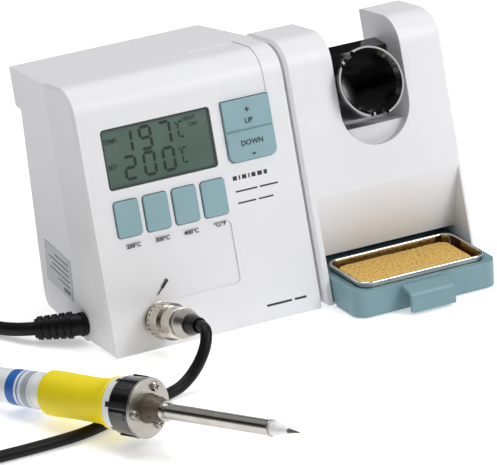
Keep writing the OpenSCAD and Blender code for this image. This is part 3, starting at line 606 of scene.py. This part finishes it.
def add_stage():
    """White paper underneath, a soft world and three lamps."""
    h = FLOOR_HALF
    floor = make_object(
        "floor", [(-h, -h, 0), (h, -h, 0), (h, h, 0), (-h, h, 0)], [(0, 1, 2, 3)]
    )
    m = Maker("floor_paper")
    m.colour(
        m.ramp(
            m.noise(6, 2), (0.3, linear(250, 250, 250)), (0.7, linear(255, 255, 255))
        )
    )
    m.rough(m.noise(40, 2), 0.8, 0.9)
    m.set(Specular_IOR_Level=0.1)
    m.set(Emission_Color=(1, 1, 1, 1), Emission_Strength=FLOOR_GLOW)
    floor.data.materials.append(m.material)
    world = bpy.data.worlds.new("studio")
    world.use_nodes = True
    tree = world.node_tree
    background = tree.nodes["Background"]
    way = tree.nodes.new("ShaderNodeTexCoord")
    parts = tree.nodes.new("ShaderNodeSeparateXYZ")
    ramp = tree.nodes.new("ShaderNodeValToRGB")
    tree.links.new(way.outputs["Generated"], parts.inputs["Vector"])
    tree.links.new(parts.outputs["Z"], ramp.inputs["Fac"])
    tree.links.new(ramp.outputs["Color"], background.inputs["Color"])
    stops = ramp.color_ramp.elements
    stops[0].position, stops[0].color = 0.0, (0.5, 0.5, 0.5, 1)
    stops[1].position, stops[1].color = 0.62, (1, 1, 1, 1)
    for place, level in WORLD_LEVELS:
        stop = stops.new(place)
        stop.color = (level, level, level, 1)
    background.inputs["Strength"].default_value = WORLD_STRENGTH
    bpy.context.scene.world = world
    bpy.context.scene.view_settings.view_transform = "Standard"
    for light in LIGHTS:
        add_light(*light)


add_camera()
add_stage()
iron_cord = add_iron_cord()
mains_cord = add_mains_cord()

shell_white = plastic("shell_white_abs", (230, 230, 233), 0.36, 0.5, mottle=0.008)
key_blue = plastic("key_blue_abs", (138, 170, 178), 0.34, 0.48)
drawer_blue = plastic("drawer_blue_abs", (116, 150, 158), 0.34, 0.48)
black_gloss = plastic("gloss_black_abs", (20, 20, 22), 0.1, 0.2, 0.06, 0.1, coat=0.6)
black_plastic = plastic("black_moulding", (24, 24, 26), 0.28, 0.42, 0.2, 0.12)
handle_white = plastic(
    "handle_gloss_white", (246, 247, 250), 0.12, 0.22, 0.05, 0.02, coat=0.5
)
grip_yellow = plastic("grip_silicone", (250, 228, 0), 0.42, 0.55, 0.2, 0.03)
ring_white = plastic("ring_nylon", (236, 237, 240), 0.3, 0.45, 0.15)
mica = plastic("hub_mica_layers", (96, 84, 70), 0.3, 0.55, 0.4, 0.22)
board_green = plastic("board_lacquer", (22, 92, 52), 0.25, 0.4, 0.1, 0.15)
ceramic = plastic("heater_alumina", (226, 222, 214), 0.5, 0.65, 0.2)
cord_skin = rubber("cord_pvc_black", (8, 8, 9), 0.34, 0.48)
feet_rubber = rubber("feet_rubber_black", (22, 22, 22), 0.55, 0.72)
nickel = metal("satin_nickel", (176, 172, 164), 0.24, 0.4)
plug_nickel = metal("plug_nickel", (214, 208, 198), 0.12, 0.26)
barrel_nickel = metal("barrel_nickel", (196, 192, 186), 0.1, 0.24, (1, 0.15, 1), 0.15)
tin_chrome = metal("tin_chrome", (214, 212, 208), 0.06, 0.16, (0.2, 1, 1), 0.06)
steel = metal("zinc_steel", (176, 178, 182), 0.25, 0.4)
core_steel = metal("core_laminations", (92, 94, 98), 0.35, 0.55, (1, 1, 12), 0.4)
copper = metal("coil_copper", (176, 98, 52), 0.3, 0.42, (1, 14, 1), 0.4)
brass = metal("pin_brass", (196, 164, 92), 0.18, 0.3)
label_grey = printed("label_silver_film", (188, 190, 192))
lcd_panel = plastic("lcd_module_case", (70, 74, 72), 0.3, 0.4)

paint(shell_white, "front_shell", "rear_shell")
paint(shell_white, "holder_back", "holder_shell", "holder_base")
paint(key_blue, "key_1", "key_2", "key_3", "key_4", "updown_key")
paint(drawer_blue, "drawer")
paint(black_gloss, "iron_cup", "collar", "power_switch_rocker", "power_switch_frame")
paint(black_plastic, "mains_plug", "mains_fuse", "tact_switches")
paint(cord_skin, "iron_boot", "plug_boot", "mains_boot", iron_cord, mains_cord)
paint(feet_rubber, "rubber_feet")
paint(nickel, "flange_plate", "flange_screws", "cord_clamp")
paint(plug_nickel, "panel_socket", "socket_nut", "coupling_ring", "plug_body")
paint(barrel_nickel, "barrel_tube")
paint(tin_chrome, "sponge_tin")
paint(steel, "case_screws", "holder_screws", "transformer_screws")
paint(core_steel, "transformer_core")
paint(copper, "transformer_coil")
paint(brass, "plug_pins")
paint(mica, "hub")
paint(ceramic, "heater")
paint(handle_white, "iron_handle")
paint(grip_yellow, "grip_sleeve")
paint(ring_white, "spacer_ring")
paint(tip_material(), "tip")
paint(iron_label_material(), "iron_label")
paint(label_grey, "rating_label")
paint(board_green, "control_board")
paint(lcd_panel, "lcd_module")
paint(lcd_material(), "lcd_window")

EDGE_WIDTHS = {
    "front_shell": 0.9,
    "rear_shell": 1.2,
    "holder_shell": 0.9,
    "holder_back": 0.9,
    "drawer": 0.7,
    "key_1": 0.6,
    "key_2": 0.6,
    "key_3": 0.6,
    "key_4": 0.6,
    "updown_key": 0.6,
    "power_switch_rocker": 0.5,
    "power_switch_frame": 0.4,
    "iron_cup": 0.4,
    "plug_body": 0.5,
    "coupling_ring": 0.25,
    "cord_clamp": 0.4,
    "panel_socket": 0.25,
    "socket_nut": 0.25,
    "flange_plate": 0.25,
    "flange_screws": 0.12,
    "spacer_ring": 0.25,
    "collar": 0.35,
    "grip_sleeve": 0.3,
    "iron_handle": 0.4,
    "iron_boot": 0.3,
    "plug_boot": 0.4,
    "mains_boot": 0.4,
    "mains_plug": 0.8,
    "sponge_tin": 0.12,
    "hub": 0.2,
    "barrel_tube": 0.15,
    "tip": 0.1,
    "lcd_window": 0.15,
    "rubber_feet": 0.5,
}
for name, width in EDGE_WIDTHS.items():
    soften(name, width, SHELL_ANGLE if "shell" in name else EDGE_ANGLE)


# ---------- print and small pieces ----------
def axes(origin, x_axis, y_axis):
    """A frame for flat work, in millimetres, on a surface."""
    x, y = Vector(x_axis).normalized(), Vector(y_axis).normalized()
    turn = Matrix((x, y, x.cross(y))).transposed().to_4x4()
    return Matrix.Translation(origin) @ turn @ Matrix.Scale(MM, 4)


FACE = axes(at(0, 0, 0), (1, 0, 0), FACE_UP)


def raised(name, place, shapes, low, high, body, material):
    """Flat outlines in a frame, each raised into a thin closed solid."""
    verts, faces = [], []
    for shape in shapes:
        n, k = len(shape), len(verts)
        verts += [place @ Vector((x, y, low)) for x, y in shape]
        verts += [place @ Vector((x, y, high)) for x, y in shape]
        faces.append(tuple(reversed(range(k, k + n))))
        faces.append(tuple(range(k + n, k + 2 * n)))
        faces += ring_wall(n, k, k + n)
    piece = make_object(name, verts, faces, smooth=False)
    piece.data.materials.append(material)
    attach(piece, body)
    return piece


def bar_shape(x, y, wide, high):
    return [(x, y), (x + wide, y), (x + wide, y + high), (x, y + high)]


def lettering(name, place, words, body, material, low=0.02, high=0.08):
    """Words centred at places in a frame: each is text, x, y and letter height."""
    parts = bmesh.new()
    for text, x, y, tall in words:
        data = bpy.data.curves.new(name + "_text", "FONT")
        data.body = text
        data.size = tall * 1.42  # a capital stands about 0.7 of the size
        data.align_x = "CENTER"
        data.align_y = "CENTER"
        data.extrude = (high - low) / 2
        data.offset = tall * 0.035  # a little bolder
        data.resolution_u = 3
        writing = link_object(name + "_text", data)
        bpy.context.view_layer.update()
        mesh = bpy.data.meshes.new_from_object(writing)
        mesh.transform(place @ Matrix.Translation((x, y, (low + high) / 2)))
        parts.from_mesh(mesh)
        bpy.data.objects.remove(writing)
    bmesh.ops.remove_doubles(parts, verts=parts.verts, dist=0.0000005)
    mesh = bpy.data.meshes.new(name)
    parts.to_mesh(mesh)
    parts.free()
    piece = link_object(name, mesh)
    mesh.materials.append(material)
    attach(piece, body)
    return piece


SEGMENTS = {
    "0": "abcdef",
    "1": "bc",
    "2": "abged",
    "7": "abc",
    "9": "abcdfg",
    "C": "adef",
}


def digit_shapes(digit, x, y, wide, tall, thick):
    """Pointed seven-segment bars for a digit centred on x, with its foot at y."""
    half, gap = thick / 2, 0.22

    def level(height):
        a, b = x - wide / 2 + gap, x + wide / 2 - gap
        return [
            (a, height),
            (a + half, height - half),
            (b - half, height - half),
            (b, height),
            (b - half, height + half),
            (a + half, height + half),
        ]

    def upright(place, low, top):
        a, b = low + gap, top - gap
        return [
            (place, a),
            (place + half, a + half),
            (place + half, b - half),
            (place, b),
            (place - half, b - half),
            (place - half, a + half),
        ]

    middle = y + tall / 2
    left, right = x - wide / 2, x + wide / 2
    bars = {
        "a": level(y + tall),
        "g": level(middle),
        "d": level(y),
        "f": upright(left, middle, y + tall),
        "b": upright(right, middle, y + tall),
        "e": upright(left, y, middle),
        "c": upright(right, y, middle),
    }
    return [bars[k] for k in SEGMENTS[digit]]


ink = printed("key_ink", (44, 46, 54))
lcd_ink = printed("lcd_ink", (16, 34, 30))

LCD_X, LCD_T = 13.5, 84.5  # the display's lower left corner on the face
LCD_TOP = -1.1  # its glass, below the face
LCD_PRINT = (LCD_TOP + 0.02, LCD_TOP + 0.07)
DIGIT_AT, DIGIT_STEP = 14.2, 11.0
DIGIT = (5.9, 11.2, 1.6)  # width, height and thickness
UNIT = (3.1, 7.6, 1.0)
DEGREE = 1.0

lcd_shapes = []
for digits, foot in (("197", 17.2), ("200", 4.0)):
    for k, digit in enumerate(digits):
        x = LCD_X + DIGIT_AT + DIGIT_STEP * k
        lcd_shapes += digit_shapes(digit, x, LCD_T + foot, *DIGIT)
    lcd_shapes += digit_shapes("C", LCD_X + 45.4, LCD_T + foot + 2.0, *UNIT)
    lcd_shapes.append(bar_shape(LCD_X + 42.2, LCD_T + foot + 8.8, DEGREE, DEGREE))
raised("lcd_digits", FACE, lcd_shapes, *LCD_PRINT, "station", lcd_ink)

# Painted shade: a thin dark band just over the glass round the display's edges. It
# stands in for the shade that the window's frame casts on the glass.
rim = 1.1
raised(
    "lcd_edge_shade_band",
    FACE,
    [
        bar_shape(LCD_X + 1.2, LCD_T + 0.2, 60.0, rim),
        bar_shape(LCD_X + 1.2, LCD_T + 30.0, 60.0, rim),
        bar_shape(LCD_X + 0.2, LCD_T + 1.2, rim, 28.9),
        bar_shape(LCD_X + 61.1, LCD_T + 1.2, rim, 28.9),
    ],
    LCD_TOP + 0.02,
    LCD_TOP + 0.3,
    "station",
    printed("lcd_edge_painted_shade", (50, 62, 58)),
)
lettering(
    "lcd_words",
    FACE,
    [
        ("TEMP.", LCD_X + 5.4, LCD_T + 24.6, 2.3),
        ("SET", LCD_X + 4.3, LCD_T + 11.4, 2.3),
        ("HEAT", LCD_X + 50.6, LCD_T + 27.6, 2.2),
        ("ON", LCD_X + 52.4, LCD_T + 24.2, 2.2),
    ],
    "station",
    lcd_ink,
    *LCD_PRINT,
)
lettering(
    "key_numbers",
    FACE,
    [
        ("200\u00b0C", 21.6, 55.2, 2.2),
        ("300\u00b0C", 38.1, 55.2, 2.2),
        ("400\u00b0C", 54.6, 55.2, 2.2),
        ("\u00b0C/\u00b0F", 71.1, 55.6, 2.2),
    ],
    "station",
    ink,
)
UPDOWN_PRINT = (1.62, 1.68)  # on top of the key, out from the face
lettering(
    "updown_words",
    FACE,
    [
        ("+", 96.0, 110.0, 3.6),
        ("UP", 96.0, 104.4, 2.7),
        ("DOWN", 96.0, 93.4, 2.7),
        ("-", 96.0, 87.8, 4.4),
    ],
    "updown_key",
    ink,
    *UPDOWN_PRINT,
)


def word_bars(x, y, tall, widths, gap):
    """Blank bars that stand where a line of words is."""
    out = []
    for wide in widths:
        out.append(bar_shape(x, y, wide, tall))
        x += wide + gap
    return out


# Four lines of words, then the little iron over the connector: its tip and handle.
marks = word_bars(82.4, 75.6, 2.2, (2.3, 0.8, 2.5, 0.8, 2.3, 2.6, 1.9), 1.1)
marks += word_bars(82.8, 69.4, 0.8, (12.5, 10.5), 1.5)
marks += word_bars(83.0, 63.4, 0.8, (10.5, 8.5), 1.5)
marks += word_bars(89.4, 8.4, 1.1, (14.5, 6.8), 1.7)
marks.append([(29.6, 28.0), (30.0, 27.6), (33.2, 30.6), (32.7, 31.1)])
marks.append([(32.4, 31.3), (33.4, 30.3), (37.2, 34.0), (36.0, 35.2)])
raised("face_marks", FACE, marks, 0.02, 0.06, "station", ink)

# The label lies on the rear shell's left side, which tapers from this far behind the
# face. In the label's frame X runs back along that side and Y up it.
TAPER_FROM = 28.5
TAPER = math.atan(0.11)
LABEL = (
    axes(on_face(0, 0, -TAPER_FROM), (1, 0, 0), FACE_UP)
    @ Matrix.Rotation(-TAPER, 4, "Y")
    @ Matrix.Translation((-0.28, 0, 0))
    @ Matrix.Rotation(math.radians(-90), 4, "Y")
)


def label_xy(y, z):
    """Where a point of the side outline lies in the label's own frame."""
    c, s = math.cos(TILT), math.sin(TILT)
    return (z * s - y * c + TAPER_FROM, y * s + z * c)


def label_bar(y, z, wide, tall):
    return [
        label_xy(y, z),
        label_xy(y, z + tall),
        label_xy(y + wide, z + tall),
        label_xy(y + wide, z),
    ]


LABEL_LEFT = 49
LABEL_LINES = ((35, 20), (32, 28), (29, 24), (26, 28), (23, 16))  # height and width
label_marks = [label_bar(LABEL_LEFT, z, wide, 0.8) for z, wide in LABEL_LINES]
label_marks.append(label_bar(LABEL_LEFT, 19, 9, 2))
raised("label_marks", LABEL, label_marks, 0.02, 0.05, "station", ink)


# ---------- sponge and tin ----------
TIN = (133.1, 205.9, -20.2, 17.0)  # left, right, front and back
TIN_TOP = 17.8
BEAD_R, BEAD_OUT, BEAD_CORNER = 0.75, 0.4, 6.4
SPONGE_GAPS = (3.4, 4.6, 3.2, 3.6)  # inside the tin, on the same four sides
SPONGE_CORNER = 4.2
SPONGE_Z = (5.25, 15.5)
SPONGE_VOXEL = 0.00055


def inset(box, left, right, front, back):
    return (box[0] + left, box[1] - right, box[2] + front, box[3] - back)


def round_rect(x0, x1, y0, y1, r, steps=8):
    """The outline of a rectangle with round corners."""
    out = []
    for cx, cy, start in (
        (x1 - r, y1 - r, 0),
        (x0 + r, y1 - r, 90),
        (x0 + r, y0 + r, 180),
        (x1 - r, y0 + r, 270),
    ):
        for k in range(steps + 1):
            a = math.radians(start + 90 * k / steps)
            out.append((cx + r * math.cos(a), cy + r * math.sin(a)))
    return out


def add_tin_rim():
    """The rolled edge of the tin: a round bead all the way round."""
    loop = round_rect(*inset(TIN, *[-BEAD_OUT] * 4), BEAD_CORNER)
    sides, r = 12, BEAD_R
    verts, faces = [], []
    n = len(loop)
    for i, (x, y) in enumerate(loop):
        px, py = loop[i - 1]
        nx, ny = loop[(i + 1) % n]
        along = Vector((nx - px, ny - py, 0)).normalized()
        out = Vector((along.y, -along.x, 0))
        for k in range(sides):
            a = 2 * math.pi * k / sides
            bead = out * (r * math.cos(a)) + Vector((0, 0, r * math.sin(a)))
            verts.append(at(x + bead.x, y + bead.y, TIN_TOP - 0.3 + bead.z))
    for i in range(n):
        faces += ring_wall(sides, i * sides, ((i + 1) % n) * sides)
    rim = make_object("tin_rim", verts, faces)
    rim.data.materials.append(tin_chrome)
    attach(rim, "sponge_tin")


def evaluated(obj):
    """Applies an object's modifiers to its mesh."""
    bpy.context.view_layer.update()
    mesh = bpy.data.meshes.new_from_object(
        obj.evaluated_get(bpy.context.evaluated_depsgraph_get())
    )
    obj.modifiers.clear()
    obj.data = mesh


def add_sponge():
    """A cut block of sponge: pitted with two sizes of cell and a little uneven."""
    low, top = SPONGE_Z
    outline = round_rect(*inset(TIN, *SPONGE_GAPS), SPONGE_CORNER)
    n = len(outline)
    verts = [at(x, y, low) for x, y in outline] + [at(x, y, top) for x, y in outline]
    faces = [tuple(reversed(range(n))), tuple(range(n, 2 * n))] + ring_wall(n, 0, n)
    block = make_object("sponge_block", verts, faces)
    remesh = block.modifiers.new("remesh", "REMESH")
    remesh.mode = "VOXEL"
    remesh.voxel_size = SPONGE_VOXEL
    evaluated(block)
    mesh = block.data
    moves = []
    for v in mesh.vertices:
        near = noise.voronoi(v.co / 0.0026)[0][0]
        small = noise.voronoi(v.co / 0.0012 + Vector((7, 3, 1)))[0][0]
        pit = 0.0011 * max(0.0, 0.36 - near) + 0.0005 * max(0.0, 0.36 - small)
        swell = 0.00018 * noise.noise(v.co / 0.012)
        moves.append(v.co + v.normal * (swell - pit))
    for v, place in zip(mesh.vertices, moves):
        v.co = place
    mesh.polygons.foreach_set("use_smooth", [True] * len(mesh.polygons))
    block.data.materials.clear()
    block.data.materials.append(sponge_skin)
    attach(block, "sponge")
    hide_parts("sponge")


BOX_FACES = (
    (0, 1, 3, 2),
    (4, 6, 7, 5),
    (0, 4, 5, 1),
    (2, 3, 7, 6),
    (0, 2, 6, 4),
    (1, 5, 7, 3),
)


def add_ring_notch_blocks():
    """Six small black blocks that stand in notches at the front of the white ring."""
    front, back, radius, tall, half = -13.5, -16.2, 13.2, 0.75, 0.09
    side = IRON_AXIS.cross(Vector((0, 0, 1))).normalized()
    up = side.cross(IRON_AXIS)
    verts, faces = [], []
    for k in range(6):
        middle = math.radians(60 * k + 20)
        n = len(verts)
        for z in (front, back):
            for r in (radius, radius + tall):
                for a in (middle - half, middle + half):
                    out = (side * math.cos(a) + up * math.sin(a)) * r
                    verts.append(at(*(iron_point(z) + out)))
        for face in BOX_FACES:
            faces.append(tuple(n + i for i in face))
    notch_blocks = make_object("ring_notch_blocks", verts, faces, smooth=False)
    notch_blocks.data.materials.append(black_gloss)
    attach(notch_blocks, "iron")


add_ring_notch_blocks()
sponge_skin = sponge_material()
add_tin_rim()
add_sponge()
